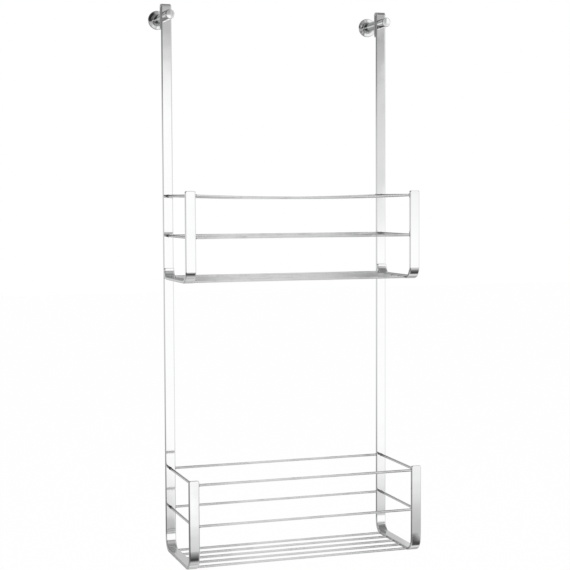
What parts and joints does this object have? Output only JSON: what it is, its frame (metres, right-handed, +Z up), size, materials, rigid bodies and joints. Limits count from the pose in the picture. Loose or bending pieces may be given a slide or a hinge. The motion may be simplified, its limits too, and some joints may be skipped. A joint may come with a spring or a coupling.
{
  "type": "shower caddy",
  "caption": "Tiered hanging shower caddy: wire baskets on long chromed flat-bar strips, hung over a panel edge by posts with end discs that thumb knobs set.",
  "frame": {"origin": "midway between the pegs, on the line under both posts and at the backs of the folded strip heads, where the panel's top front edge lies", "axes": "+X to the user's right, +Y away from the user and along the pegs, +Z up"},
  "size_m": [0.311, 0.1655, 0.6855],
  "materials": {
    "bar_chrome": "polished chrome plate on flat steel bar",
    "wire_chrome": "polished chrome plate on round steel wire",
    "peg_chrome": "polished chrome plate on turned metal",
    "stud_steel": "plain threaded steel, out of sight"
  },
  "bodies": {
    "frame": {"left_strip": "bar_chrome", "right_strip": "bar_chrome", "left_bracket": "bar_chrome", "right_bracket": "bar_chrome", "upper_floor_wire_1": "wire_chrome", "upper_floor_wire_2": "wire_chrome", "upper_floor_wire_3": "wire_chrome", "upper_floor_wire_4": "wire_chrome", "upper_floor_wire_5": "wire_chrome", "upper_back_mid_wire": "wire_chrome", "upper_front_mid_wire": "wire_chrome", "upper_left_mid_wire": "wire_chrome", "upper_right_mid_wire": "wire_chrome", "upper_back_rim_wire": "wire_chrome", "upper_front_rim_wire": "wire_chrome", "upper_left_rim_wire": "wire_chrome", "upper_right_rim_wire": "wire_chrome", "lower_floor_wire_1": "wire_chrome", "lower_floor_wire_2": "wire_chrome", "lower_floor_wire_3": "wire_chrome", "lower_floor_wire_4": "wire_chrome", "lower_floor_wire_5": "wire_chrome", "lower_back_mid_wire": "wire_chrome", "lower_front_mid_wire": "wire_chrome", "lower_left_mid_wire": "wire_chrome", "lower_right_mid_wire": "wire_chrome", "lower_back_rim_wire": "wire_chrome", "lower_front_rim_wire": "wire_chrome", "lower_left_rim_wire": "wire_chrome", "lower_right_rim_wire": "wire_chrome"},
    "left_peg": {"left_post": "peg_chrome", "left_end_disc": "peg_chrome", "left_stud": "stud_steel"},
    "left_thumb_knob": {"left_knob": "peg_chrome"},
    "right_peg": {"right_post": "peg_chrome", "right_end_disc": "peg_chrome", "right_stud": "stud_steel"},
    "right_thumb_knob": {"right_knob": "peg_chrome"}
  },
  "joints": [
    {"name": "left_knob_turn", "type": "hinge", "parent": "frame", "child": "left_thumb_knob", "pos_m": [-0.1435, -0.009, 0.006], "axis": [0, -1, 0], "range_deg": [0, 2160]},
    {"name": "left_peg_slide", "type": "slide", "parent": "frame", "child": "left_peg", "axis": [0, 1, 0], "range_m": [0, 0.0075]},
    {"name": "right_knob_turn", "type": "hinge", "parent": "frame", "child": "right_thumb_knob", "pos_m": [0.1435, -0.009, 0.006], "axis": [0, -1, 0], "range_deg": [0, 2160]},
    {"name": "right_peg_slide", "type": "slide", "parent": "frame", "child": "right_peg", "axis": [0, 1, 0], "range_m": [0, 0.0075]}
  ],
  "couplings": [
    {"joint": "left_knob_turn", "follows": "left_peg_slide", "rad_per_m": 5026.5},
    {"joint": "right_knob_turn", "follows": "right_peg_slide", "rad_per_m": 5026.5}
  ]
}
